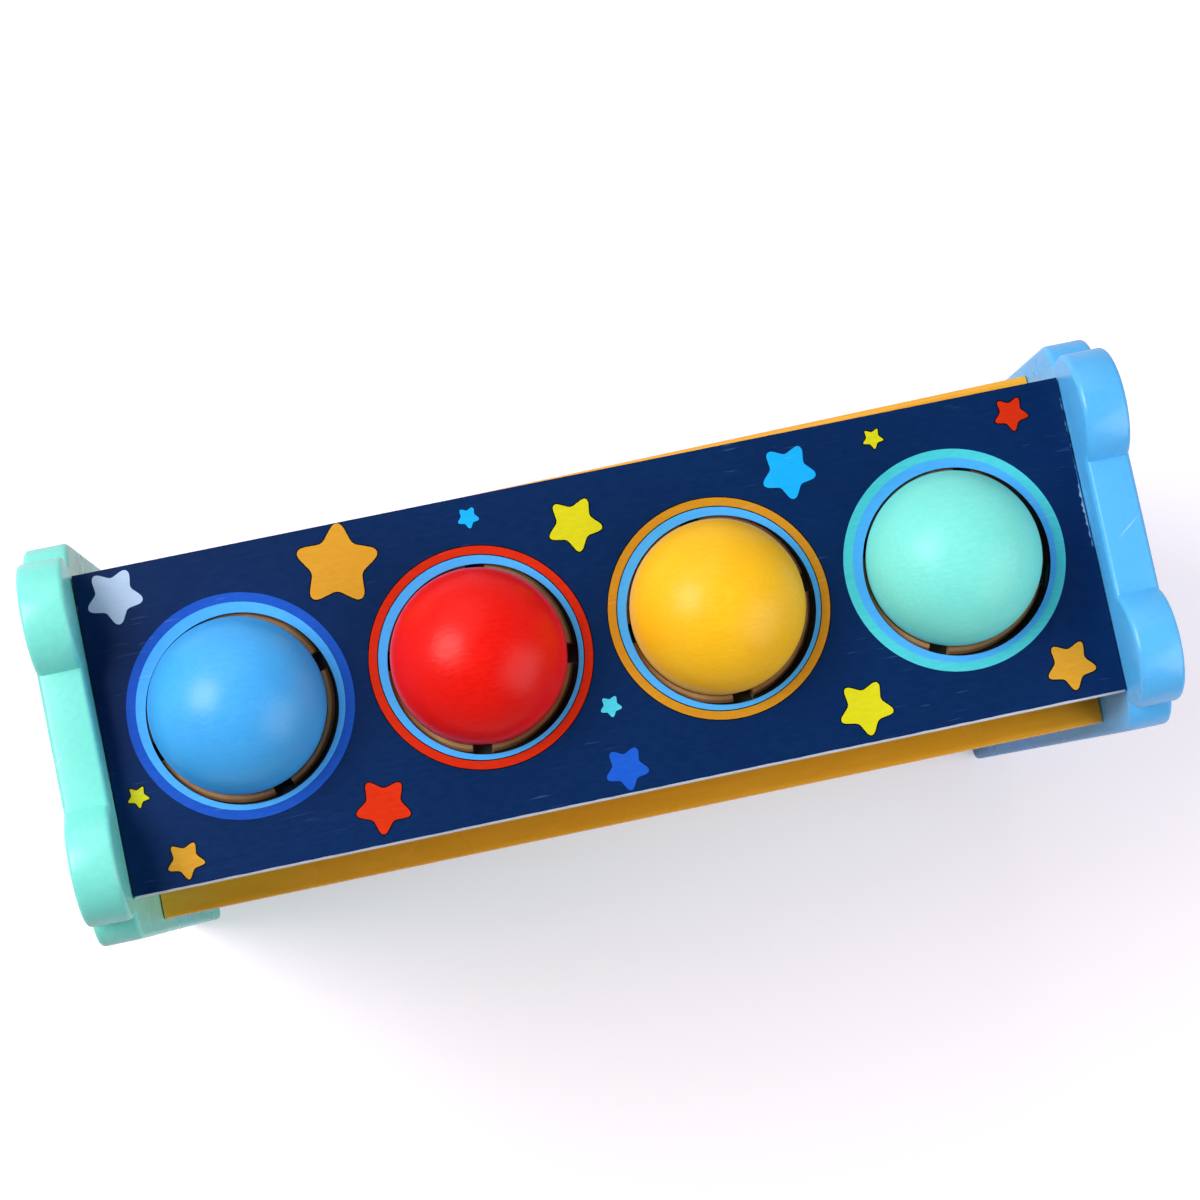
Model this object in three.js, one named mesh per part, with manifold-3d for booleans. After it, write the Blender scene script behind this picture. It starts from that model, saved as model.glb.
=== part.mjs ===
// Ball pounding toy: four wooden balls wait in flexible rings in a printed deck.
// A ball that is knocked through lands on the first of three zig-zag ramps and rolls to the floor.
// Millimetres, +Z up, X along the deck, Y towards the back, origin on the floor under the middle.

import * as THREE from 'three';
import { mergeVertices } from 'three/addons/utils/BufferGeometryUtils.js';
import Module from 'manifold-3d';

const wasm = await Module();
wasm.setup();

// Driving dimensions
const fitGap = 0.3; // between any two pieces that touch

const ballDiameter = 45;
const ballRise = 2; // ball's centre above the deck's upper face
const ballGap = 2; // between a ball and the wall of its hole
const ballShiftX = -1; // rings and balls sit a little off the middle of their holes
const ballShiftY = 0.8;

const ringRecess = 2; // ring's upper face below the deck's upper face
const ringThickness = 4;
const ringLedge = 3.5; // ring's flange beyond the hole
const ringSlotWidth = 5;
const ringSlotReach = 2.6; // how far a slot cuts past the ring's bore

const deckThickness = 10;
const deckWall = 5.4; // wood left between two ring recesses
const deckEndMargin = 35.8; // from the last hole's middle to the deck's end
const deckSideMargin = 13.2; // from a ring recess to the deck's long edge
const deckEdgeRound = 0.8;

const panelThickness = 11.6;
const panelMargin = 3.65; // panel beyond the rails, front and back
const panelEdgeRound = 1.4;
const lobeRadius = 15;
const lobeRise = 19; // top of a lobe above the deck
const lobeInset = 20.35; // lobe's middle in from the panel's upright edge
const saddleRise = 9.4; // straight stretch between the lobes, above the deck
const shoulderRadius = 12;
const shoulderDrop = 13; // shoulder's middle below the deck
const footRound = 4;

const rampSlope = 0.1061; // fall per length
const rampLevels = ['upper', 'middle', 'lower'];
const floorThickness = 6;
const railThickness = 8.4;
const railOverhang = 6.5; // rail's outer face beyond the deck's long edge
const railStand = 22; // rail's top above the ramp floor
const railSkirt = 2; // rail below the ramp floor
const railEdgeRound = 1.6;
const grooveDepth = 3;
const dropClear = 9; // drop opening beyond the ball's diameter
const deckHeadroom = 0.6; // over a ball at the high end of the upper ramp
const levelHeadroom = 2.6; // over a ball that rolls under the ramp it fell from
const bottomClear = 2; // lowest rail above the floor

const screwHeadDiameter = 7.6;
const screwHeadLip = 0.6;
const screwShankDiameter = 3.8;
const screwLength = 32;
const screwPointLength = 3;
const deckScrewInset = 8.5; // in from the deck's long edge

const ballSegments = 28;
const ballRows = 18;
const ringSegments = 40;
const arcSegments = 8;
const screwSegments = 12;

const balls = [
  { name: 'blue', colour: '#2f98ec', ringTurn: 18 },
  { name: 'red', colour: '#e01c14', ringTurn: -9 },
  { name: 'yellow', colour: '#f6b21b', ringTurn: 5 },
  { name: 'mint', colour: '#6fe0d2', ringTurn: -20 },
];
const rampColours = { upper: '#dc9a1f', middle: '#57b4f2', lower: '#63d2c3' };

// Sizes that follow from them
const ballRadius = ballDiameter / 2;
const holeRadius = ballRadius + ballGap;
const ringOuterRadius = holeRadius + ringLedge;
const recessRadius = ringOuterRadius + fitGap;
// Radius of the ball's seat, that far below the deck's upper face
const seatRadius = (depth) => Math.sqrt((ballRadius + fitGap) ** 2 - (ballRise + depth) ** 2);
const ringBoreRadius = seatRadius(ringRecess);

const ballPitch = 2 * recessRadius + deckWall;
const deckLength = (balls.length - 1) * ballPitch + 2 * deckEndMargin;
const deckWidth = 2 * (recessRadius + deckSideMargin);
const panelFaceX = deckLength / 2 + fitGap;

const railOuterY = deckWidth / 2 + railOverhang;
const railInnerY = railOuterY - railThickness;
const railLength = 2 * (panelFaceX - fitGap);
const railHeight = railStand + floorThickness + railSkirt;
const floorWidth = 2 * (railInnerY + grooveDepth - fitGap);
const dropLength = ballDiameter + dropClear;
const halfFall = rampSlope * panelFaceX;

// Height of each ramp floor's upper face at the middle of its length, from the lowest level upwards
const levelStep = ballDiameter + floorThickness + 2 * rampSlope * (panelFaceX - dropLength) + levelHeadroom;
const lowestFloor = bottomClear + railSkirt + floorThickness + halfFall;
const floorHeight = (level) => lowestFloor + (rampLevels.length - 1 - level) * levelStep;
const deckUnderside = floorHeight(0) + halfFall + ballDiameter + deckHeadroom;
const deckTop = deckUnderside + deckThickness;

const panelHalfWidth = railOuterY + panelMargin;
const railScrewY = railOuterY - railThickness / 2;
const deckScrewY = deckWidth / 2 - deckScrewInset;

// Maps a drawing in X and Y, extruded along Z, onto world Y and Z, extruded along world X
const standAcross = new THREE.Matrix4().makeBasis(
  new THREE.Vector3(0, 1, 0),
  new THREE.Vector3(0, 0, 1),
  new THREE.Vector3(1, 0, 0),
);

const product = new THREE.Group();

function addPiece(name, geometry, colour, roughness = 0.45, metalness = 0) {
  const material = new THREE.MeshStandardMaterial({ color: colour, roughness, metalness });
  const mesh = new THREE.Mesh(geometry, material);
  mesh.name = name;
  product.add(mesh);
}

function toSolid(geometry) {
  const bare = geometry.clone();
  bare.deleteAttribute('normal');
  bare.deleteAttribute('uv');
  const merged = mergeVertices(bare, 1e-4);
  const vertProperties = new Float32Array(merged.attributes.position.array);
  const triVerts = new Uint32Array(merged.index.array);
  return new wasm.Manifold(new wasm.Mesh({ numProp: 3, vertProperties, triVerts }));
}

function toGeometry(solid) {
  const { vertProperties, triVerts } = solid.getMesh();
  const geometry = new THREE.BufferGeometry();
  geometry.setAttribute('position', new THREE.BufferAttribute(new Float32Array(vertProperties), 3));
  geometry.setIndex(new THREE.BufferAttribute(new Uint32Array(triVerts), 1));
  geometry.computeVertexNormals();
  return geometry;
}

function cut(geometry, tools) {
  let solid = toSolid(geometry);
  for (const tool of tools) solid = solid.subtract(toSolid(tool));
  return toGeometry(solid);
}

// A closed profile of [radius, height] pairs, turned about the Z axis
function turned(profile, segments) {
  const points = profile.map(([radius, height]) => new THREE.Vector2(radius, height));
  return new THREE.LatheGeometry(points, segments).rotateX(Math.PI / 2);
}

function upright(radius, bottom, top, segments) {
  const cylinder = new THREE.CylinderGeometry(radius, radius, top - bottom, segments);
  return cylinder.rotateX(Math.PI / 2).translate(0, 0, (top + bottom) / 2);
}

// Screws: every one runs along X through an end panel into the end of a deck or rail
const screwPlaces = [];
for (const side of [-1, 1]) {
  for (const face of ['front', 'back']) {
    const across = face === 'front' ? -1 : 1;
    const end = side < 0 ? 'left' : 'right';
    const deckZ = deckTop - deckThickness / 2;
    screwPlaces.push({ name: `deck_screw_${end}_${face}`, side, y: across * deckScrewY, z: deckZ });
    rampLevels.forEach((level, index) => {
      const rise = side * fallDirection(index) * halfFall;
      const z = floorHeight(index) + rise + railStand / 2;
      screwPlaces.push({ name: `${level}_rail_screw_${end}_${face}`, side, y: across * railScrewY, z });
    });
  }
}

// The upper ramp falls to the left, the next to the right, and so on
function fallDirection(level) {
  return level % 2 === 0 ? 1 : -1;
}

// Countersunk wood screw; grow widens it into the hole that takes it
function screwShape(grow) {
  const head = screwHeadDiameter / 2 + grow;
  const shank = screwShankDiameter / 2 + grow;
  const neck = screwHeadLip + head - shank;
  const profile = [
    [0, screwLength + grow],
    [shank, screwLength - screwPointLength + grow],
    [shank, neck],
    [head, screwHeadLip],
    [head, -grow],
    [0, -grow],
  ];
  return turned(profile.reverse(), screwSegments);
}

function screwAt({ side, y, z }, grow) {
  const outerFace = panelFaceX + panelThickness - fitGap;
  const shape = screwShape(grow).rotateY((-side * Math.PI) / 2);
  return shape.translate(side * outerFace, y, z);
}

function screwHoles(wanted) {
  return screwPlaces.filter(wanted).map((place) => screwAt(place, fitGap));
}

for (const place of screwPlaces) addPiece(place.name, screwAt(place, 0), '#b9bcc0', 0.35, 1);

// Deck: rounded plank with a hole for each ball and a recess for its ring from below
function deckBlank() {
  const half = deckWidth / 2;
  const r = deckEdgeRound;
  const section = new THREE.Shape();
  section.moveTo(-half, deckUnderside);
  section.lineTo(half, deckUnderside);
  section.lineTo(half, deckTop - r);
  section.absarc(half - r, deckTop - r, r, 0, Math.PI / 2, false);
  section.lineTo(-half + r, deckTop);
  section.absarc(-half + r, deckTop - r, r, Math.PI / 2, Math.PI, false);
  section.closePath();
  const options = { depth: deckLength, bevelEnabled: false, curveSegments: 3 };
  return new THREE.ExtrudeGeometry(section, options)
    .translate(0, 0, -deckLength / 2)
    .applyMatrix4(standAcross);
}

const ballX = (index) => (index - (balls.length - 1) / 2) * ballPitch;
const ringTop = deckTop - ringRecess;

const deckCuts = balls.flatMap((ball, index) => {
  const hole = upright(holeRadius, deckUnderside - 1, deckTop + 1, ringSegments);
  const recess = upright(recessRadius, deckUnderside - 1, ringTop + fitGap, ringSegments);
  return [
    hole.translate(ballX(index), 0, 0),
    recess.translate(ballX(index) + ballShiftX, ballShiftY, 0),
  ];
});
const deckScrewHoles = screwHoles((place) => place.name.startsWith('deck'));
addPiece('deck', cut(deckBlank(), [...deckCuts, ...deckScrewHoles]), '#0d2c66', 0.5);

// Retaining rings: flexible, with a bore that follows the ball and four slots, so that the lip
// under the ball gives way when it is knocked
function retainingRing() {
  const bottom = ringTop - ringThickness;
  const seat = [0, 0.5, 1].map((share) => [
    seatRadius(ringRecess + share * ringThickness),
    ringTop - share * ringThickness,
  ]);
  const profile = [...seat, [ringOuterRadius, bottom], [ringOuterRadius, ringTop], seat[0]];
  const ring = turned(profile, ringSegments);
  const slotLength = 2 * (ringBoreRadius + ringSlotReach);
  const slots = [0, Math.PI / 2].map((angle) => {
    const slot = new THREE.BoxGeometry(slotLength, ringSlotWidth, 3 * ringThickness);
    return slot.rotateZ(angle).translate(0, 0, ringTop);
  });
  return cut(ring, slots);
}

balls.forEach((ball, index) => {
  const x = ballX(index) + ballShiftX;
  const ring = retainingRing().rotateZ(THREE.MathUtils.degToRad(ball.ringTurn));
  addPiece(`retaining_ring_${ball.name}`, ring.translate(x, ballShiftY, 0), '#9a6f45', 0.6);
  const sphere = new THREE.SphereGeometry(ballRadius, ballSegments, ballRows).rotateX(Math.PI / 2);
  addPiece(`ball_${ball.name}`, sphere.translate(x, ballShiftY, deckTop + ballRise), ball.colour, 0.3);
});

// Where two circles cross, on the side of larger first coordinate
function outerCrossing(a, ra, b, rb) {
  const apart = b.clone().sub(a);
  const distance = apart.length();
  const along = (ra * ra - rb * rb + distance * distance) / (2 * distance);
  const aside = Math.sqrt(ra * ra - along * along);
  const unit = apart.divideScalar(distance);
  const foot = a.clone().addScaledVector(unit, along);
  const normal = new THREE.Vector2(-unit.y, unit.x);
  const first = foot.clone().addScaledVector(normal, aside);
  const second = foot.clone().addScaledVector(normal, -aside);
  return first.x > second.x ? first : second;
}

// End panel: upright board whose top is two round lobes over rounded shoulders, like a cloud
function panelOutline() {
  const lobe = new THREE.Vector2(panelHalfWidth - lobeInset, deckTop + lobeRise - lobeRadius);
  const shoulder = new THREE.Vector2(panelHalfWidth - shoulderRadius, deckTop - shoulderDrop);
  const crease = outerCrossing(lobe, lobeRadius, shoulder, shoulderRadius);
  const creaseOnLobe = Math.atan2(crease.y - lobe.y, crease.x - lobe.x);
  const creaseOnShoulder = Math.atan2(crease.y - shoulder.y, crease.x - shoulder.x);
  const saddleAngle = Math.PI - Math.asin((deckTop + saddleRise - lobe.y) / lobeRadius);
  const half = panelHalfWidth;
  const outline = new THREE.Shape();
  outline.moveTo(-half + footRound, 0);
  outline.lineTo(half - footRound, 0);
  outline.absarc(half - footRound, footRound, footRound, -Math.PI / 2, 0, false);
  outline.absarc(shoulder.x, shoulder.y, shoulderRadius, 0, creaseOnShoulder, false);
  outline.absarc(lobe.x, lobe.y, lobeRadius, creaseOnLobe, saddleAngle, false);
  outline.absarc(-lobe.x, lobe.y, lobeRadius, Math.PI - saddleAngle, Math.PI - creaseOnLobe, false);
  outline.absarc(-shoulder.x, shoulder.y, shoulderRadius, Math.PI - creaseOnShoulder, Math.PI, false);
  outline.absarc(-half + footRound, footRound, footRound, Math.PI, 1.5 * Math.PI, false);
  return outline;
}

function endPanel(side) {
  const round = panelEdgeRound;
  const options = {
    depth: panelThickness - 2 * round,
    bevelThickness: round,
    bevelSize: round,
    bevelOffset: -round,
    bevelSegments: 2,
    curveSegments: arcSegments,
  };
  const board = new THREE.ExtrudeGeometry(panelOutline(), options).translate(0, 0, round);
  board.applyMatrix4(standAcross);
  board.translate(side < 0 ? -panelFaceX - panelThickness : panelFaceX, 0, 0);
  return cut(board, screwHoles((place) => place.side === side));
}

addPiece('left_end_panel', endPanel(-1), '#6fdccb', 0.4);
addPiece('right_end_panel', endPanel(1), '#4fb0f0', 0.4);

// Ramps: a floor let into a groove in each of two side rails that run from panel to panel
function sloped(section, from, to, slope) {
  const options = { depth: to - from, bevelEnabled: false, curveSegments: 3 };
  const lean = new THREE.Matrix4().set(1, 0, 0, 0, 0, 1, 0, 0, slope, 0, 1, 0, 0, 0, 0, 1);
  return new THREE.ExtrudeGeometry(section, options)
    .translate(0, 0, from)
    .applyMatrix4(standAcross)
    .applyMatrix4(lean);
}

// Rail section, drawn for the back rail with its groove on the inner side; floor top is at 0
function railSection(across) {
  const r = railEdgeRound;
  const grooveTop = fitGap;
  const grooveBottom = -floorThickness - fitGap;
  const corners = [
    [railInnerY, railStand - r],
    [railInnerY + r, railStand],
    [railOuterY - r, railStand],
    [railOuterY, railStand - r],
  ];
  const section = new THREE.Shape();
  section.moveTo(across * railOuterY, railStand - railHeight);
  section.lineTo(across * railInnerY, railStand - railHeight);
  section.lineTo(across * railInnerY, grooveBottom);
  section.lineTo(across * (railInnerY + grooveDepth), grooveBottom);
  section.lineTo(across * (railInnerY + grooveDepth), grooveTop);
  section.lineTo(across * railInnerY, grooveTop);
  section.lineTo(across * corners[0][0], corners[0][1]);
  section.quadraticCurveTo(across * railInnerY, railStand, across * corners[1][0], corners[1][1]);
  section.lineTo(across * corners[2][0], corners[2][1]);
  section.quadraticCurveTo(across * railOuterY, railStand, across * corners[3][0], corners[3][1]);
  section.closePath();
  return section;
}

function floorSection() {
  const half = floorWidth / 2;
  const section = new THREE.Shape();
  section.moveTo(-half, -floorThickness);
  section.lineTo(half, -floorThickness);
  section.lineTo(half, 0);
  section.lineTo(-half, 0);
  section.closePath();
  return section;
}

rampLevels.forEach((level, index) => {
  const direction = fallDirection(index);
  const slope = direction * rampSlope;
  const height = floorHeight(index);
  const colour = rampColours[level];
  const half = railLength / 2;
  const isLast = index === rampLevels.length - 1;
  const lowEnd = isLast ? half : panelFaceX - dropLength;
  const [from, to] = direction > 0 ? [-lowEnd, half] : [-half, lowEnd];
  const rampFloor = sloped(floorSection(), from, to, slope);
  addPiece(`${level}_ramp_floor`, rampFloor.translate(0, 0, height), '#e2c08c', 0.6);
  for (const face of ['front', 'back']) {
    const across = face === 'front' ? -1 : 1;
    const rail = sloped(railSection(across), -half, half, slope).translate(0, 0, height);
    const holes = screwHoles((place) => place.name.startsWith(`${level}_rail`) && place.y * across > 0);
    addPiece(`${level}_${face}_rail`, cut(rail, holes), colour, 0.45);
  }
});

export default product;
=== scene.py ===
import math
import random

import bpy
from mathutils import Matrix, Vector


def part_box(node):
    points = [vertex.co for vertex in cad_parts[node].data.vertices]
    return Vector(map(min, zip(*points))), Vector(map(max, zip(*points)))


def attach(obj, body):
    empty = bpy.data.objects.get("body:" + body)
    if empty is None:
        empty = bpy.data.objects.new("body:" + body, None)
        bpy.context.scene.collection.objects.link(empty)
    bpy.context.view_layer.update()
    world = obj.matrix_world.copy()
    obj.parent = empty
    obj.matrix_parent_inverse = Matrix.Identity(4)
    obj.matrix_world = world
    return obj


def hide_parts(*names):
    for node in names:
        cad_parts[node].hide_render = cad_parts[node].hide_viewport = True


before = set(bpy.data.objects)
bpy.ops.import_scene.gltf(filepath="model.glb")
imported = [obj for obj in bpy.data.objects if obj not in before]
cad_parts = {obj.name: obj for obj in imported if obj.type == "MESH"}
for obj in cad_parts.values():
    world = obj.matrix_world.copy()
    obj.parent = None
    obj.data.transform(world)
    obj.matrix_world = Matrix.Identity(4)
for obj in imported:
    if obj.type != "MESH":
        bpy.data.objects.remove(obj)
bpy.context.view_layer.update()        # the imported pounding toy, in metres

mm = 0.001
hair = 0.01 * mm  # what lies closer than this is in one place
weldGap = 0.002 * mm
squarely = 0.9  # a normal's share along a direction that it faces
partly = 0.5  # and along one that it leans towards
ballNames = ["blue", "red", "yellow", "mint"]
rampLevels = ["upper", "middle", "lower"]
outwards = {"left": -1, "right": 1}  # which way along X each end looks
print("frame loaded:", len(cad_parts), "nodes")


# Small helpers for the frame and for edit mode

def nodeBox(node):  # a node's lowest and highest corners, and its middle
    low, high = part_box(node)
    return low, high, (low + high) / 2


def inMetres(look):  # the plain numbers of a piece's dictionary
    return {key: value * mm for key, value in look.items() if isinstance(value, (int, float))}


def everything(*parts):  # for picking all of a piece
    return True


def standAlone(piece=None):  # object mode, with nothing selected but the piece
    if bpy.context.mode != "OBJECT":
        bpy.ops.object.mode_set(mode="OBJECT")
    bpy.ops.object.select_all(action="DESELECT")
    if piece:
        piece.select_set(True)
        bpy.context.view_layer.objects.active = piece


def named(name):  # the primitive that was just added, with its place in its mesh
    piece = bpy.context.active_object
    piece.name = name
    piece.data.name = name
    bpy.ops.object.transform_apply(location=True, rotation=True, scale=True)
    return piece


def pick(piece, kind, wanted):  # edit mode, with just the wanted verts, edges or faces selected
    standAlone(piece)
    bpy.ops.object.mode_set(mode="EDIT")
    bpy.ops.mesh.select_mode(type=kind)
    bpy.ops.mesh.select_all(action="DESELECT")
    bpy.ops.object.mode_set(mode="OBJECT")
    mesh = piece.data
    if kind == "VERT":
        for vert in mesh.vertices:
            vert.select = wanted(vert.co)
    elif kind == "EDGE":
        for edge in mesh.edges:
            edge.select = wanted(*(mesh.vertices[i].co for i in edge.vertices))
    else:
        for face in mesh.polygons:
            face.select = wanted(face.center, face.normal)
    bpy.ops.object.mode_set(mode="EDIT")


def extrude(step):
    bpy.ops.mesh.extrude_region_move(TRANSFORM_OT_translate={"value": step})


def growLoop(radius, loops, centre):  # draws the picked loop on through pairs of radius and rise
    for wanted, rise in loops:
        extrude((0, 0, rise))
        bpy.ops.transform.resize(value=(wanted / radius, wanted / radius, 1), center_override=centre)
        radius = wanted


def roundOff(width, steps, kind="EDGES"):  # what is picked
    bpy.ops.mesh.bevel(offset=width, segments=steps, affect=kind)


def tidyMesh(piece):  # one skin that faces outwards
    pick(piece, "VERT", everything)
    bpy.ops.mesh.remove_doubles(threshold=weldGap)
    bpy.ops.mesh.normals_make_consistent(inside=False)
    standAlone(piece)


def faceUp(piece):  # for a flat print
    tidyMesh(piece)
    if piece.data.polygons[0].normal.z < 0:
        pick(piece, "FACE", everything)
        bpy.ops.mesh.flip_normals()
        standAlone(piece)


def finishWith(piece, kind, **settings):
    modifier = piece.modifiers.new(kind.title(), kind)
    for name, value in settings.items():
        setattr(modifier, name, value)
    standAlone(piece)
    bpy.ops.object.modifier_apply(modifier=modifier.name)


def cutAway(piece, *cutters):
    for cutter in cutters:
        finishWith(piece, "BOOLEAN", object=cutter, operation="DIFFERENCE", solver="EXACT")
        bpy.data.objects.remove(cutter)


def paint(piece, index, wanted):  # gives the wanted faces another of the piece's materials
    standAlone(piece)
    for face in piece.data.polygons:
        if wanted(face.center, face.normal):
            face.material_index = index


def fit(piece, materials, body="stand", nodes=(), smooth=30):
    standAlone(piece)
    for material in materials:
        piece.data.materials.append(material)
    bpy.ops.object.shade_smooth_by_angle(angle=math.radians(smooth))
    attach(piece, body)
    if nodes:
        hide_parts(*nodes)


# Small helpers for materials

def hexColour(code):  # sRGB hex to linear
    parts = [int(code[i:i + 2], 16) / 255 for i in (1, 3, 5)]
    return tuple(c / 12.92 if c <= 0.04045 else ((c + 0.055) / 1.055) ** 2.4 for c in parts) + (1.0,)


def add(tree, kind, links=None, **settings):  # a node among the links stands for its first output
    made = tree.nodes.new("ShaderNode" + kind)
    for name, value in settings.items():
        setattr(made, name, value)
    for socket, value in (links or {}).items():
        if isinstance(value, bpy.types.Node):
            value = value.outputs[0]
        if isinstance(value, bpy.types.NodeSocket):
            tree.links.new(value, made.inputs[socket])
        else:
            made.inputs[socket].default_value = hexColour(value) if isinstance(value, str) else value
    return made


def newMaterial(name, **sockets):
    material = bpy.data.materials.new(name)
    material.use_nodes = True
    tree = material.node_tree
    shader = tree.nodes["Principled BSDF"]
    for socket, value in sockets.items():
        shader.inputs[socket.replace("_", " ")].default_value = value
    place = add(tree, "TexCoord").outputs["Object"]
    return material, tree, shader, place


def wire(tree, shader, tone, gloss, skin):
    for socket, node in (("Base Color", tone), ("Roughness", gloss), ("Normal", skin)):
        tree.links.new(node.outputs[0], shader.inputs[socket])


def perSize(size):  # texture scale for a pattern of that size in millimetres
    return 1 / (size * mm)


# Satin enamel sprayed on a sanded board: an even colour with a soft sheen, in which the grain
# of the wood stands as faint long ridges, with a fine orange peel over them

enamelLook = {
    "drift": 35, "ridge": 1.6, "peel": 0.9,  # sizes in mm
    "grain": {"lengthwise": (0.06, 1, 1), "upright": (1, 1, 0.06)},
    "mottle": {"From Min": 0.12, "From Max": 0.42},
    "gloss": {"From Min": 0.3, "From Max": 0.7, "To Min": 0.24, "To Max": 0.32},
    "ridgeBump": {"Strength": 0.2, "Distance": 0.03 * mm},
    "peelBump": {"Strength": 0.15, "Distance": 0.02 * mm},
    "scratchWidth": 0.15, "scratchDepth": 4,  # half sizes in mm
    "scratchFade": {"From Min": 0.4, "From Max": 1.0, "To Min": 0.42, "To Max": 0.0},
    "scratchColour": "#f4fbfd",
}


def satinEnamel(name, colour, deep, grain="lengthwise", scratch=None):
    look = enamelLook
    material, tree, shader, place = newMaterial(name, IOR=1.5)
    drift = add(tree, "TexNoise", {"Vector": place, "Scale": perSize(look["drift"]), "Detail": 3})
    stretched = add(tree, "Mapping", {"Vector": place, "Scale": look["grain"][grain]})
    ridges = add(tree, "TexNoise", {"Vector": stretched, "Scale": perSize(look["ridge"]), "Detail": 4})
    peel = add(tree, "TexNoise", {"Vector": place, "Scale": perSize(look["peel"]), "Detail": 2})
    mottle = add(tree, "Math", {0: drift, 1: ridges}, operation="MULTIPLY")
    share = add(tree, "MapRange", {"Value": mottle, **look["mottle"]})
    tone = add(tree, "MixRGB", {"Fac": share, "Color1": deep, "Color2": colour})
    if scratch:  # a thin pale line, pointed at both ends
        middle, turn, halfLength = scratch
        reach = [half * mm for half in (halfLength, look["scratchWidth"], look["scratchDepth"])]
        line = add(tree, "Mapping", {"Vector": place, "Location": Vector(middle) * mm,
                                     "Rotation": (0, 0, turn), "Scale": reach}, vector_type="TEXTURE")
        away = add(tree, "VectorMath", {0: line}, operation="LENGTH").outputs["Value"]
        mark = add(tree, "MapRange", {"Value": away, **look["scratchFade"]})
        tone = add(tree, "MixRGB", {"Fac": mark, "Color1": tone, "Color2": look["scratchColour"]})
    gloss = add(tree, "MapRange", {"Value": drift, **look["gloss"]})
    coarse = add(tree, "Bump", {"Height": ridges, **look["ridgeBump"]})
    skin = add(tree, "Bump", {"Height": peel, "Normal": coarse, **look["peelBump"]})
    wire(tree, shader, tone, gloss, skin)
    return material


# Lacquer on a turned beech ball: deep even colour, one broad soft highlight that the fine brush
# texture breaks up, and a few specks of dust

lacquerLook = {
    "drift": 18, "brush": 0.8, "dust": 9,  # sizes in mm
    "brushLie": {"Rotation": (0.5, 0.9, 0.2), "Scale": (0.35, 1, 1)},
    "mottle": {"From Min": 0.12, "From Max": 0.4},
    "speck": {"From Min": 0.035, "From Max": 0.06, "To Min": 0.55, "To Max": 0.0},
    "gloss": {"From Min": 0.3, "From Max": 0.7, "To Min": 0.30, "To Max": 0.40},
    "brushBump": {"Strength": 0.8, "Distance": 0.08 * mm},
}


def ballLacquer(name, colour, deep, sheen):
    look = lacquerLook
    material, tree, shader, place = newMaterial(name, IOR=1.5, Specular_IOR_Level=sheen)
    drift = add(tree, "TexNoise", {"Vector": place, "Scale": perSize(look["drift"]), "Detail": 4})
    turned = add(tree, "Mapping", {"Vector": place, **look["brushLie"]})
    brush = add(tree, "TexNoise", {"Vector": turned, "Scale": perSize(look["brush"]), "Detail": 4})
    dust = add(tree, "TexVoronoi", {"Vector": place, "Scale": perSize(look["dust"])}).outputs["Distance"]
    speck = add(tree, "MapRange", {"Value": dust, **look["speck"]})
    mottle = add(tree, "Math", {0: drift, 1: brush}, operation="MULTIPLY")
    share = add(tree, "MapRange", {"Value": mottle, **look["mottle"]})
    tone = add(tree, "MixRGB", {"Fac": share, "Color1": deep, "Color2": colour})
    marked = add(tree, "MixRGB", {"Fac": speck, "Color1": tone, "Color2": deep})
    gloss = add(tree, "MapRange", {"Value": brush, **look["gloss"]})
    skin = add(tree, "Bump", {"Height": brush, **look["brushBump"]})
    wire(tree, shader, marked, gloss, skin)
    return material


# Printed film laminated to plywood: dense ink with a low sheen, the veneer's pores pressed
# through it as short dashes along the board, and fine scuffs from play

filmLook = {
    "drift": 60, "pore": 0.9, "line": 0.7, "patch": 22,  # sizes in mm
    "poreLie": {"Scale": (0.3, 1, 1)},
    "lineLie": {"Rotation": (0, 0, 0.6), "Scale": (0.08, 1, 1)},
    "thinLine": {"From Min": 0.68, "From Max": 0.76},
    "scuffed": {"From Min": 0.50, "From Max": 0.66, "To Max": 0.22},
    "mottle": {"From Min": 0.1, "From Max": 0.45},
    "gloss": {"From Min": 0.3, "From Max": 0.7, "To Min": 0.30, "To Max": 0.40},
    "poreBump": {"Strength": 0.4, "Distance": 0.05 * mm},
    "lineBump": {"Strength": 0.5, "Distance": 0.05 * mm},
}


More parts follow.
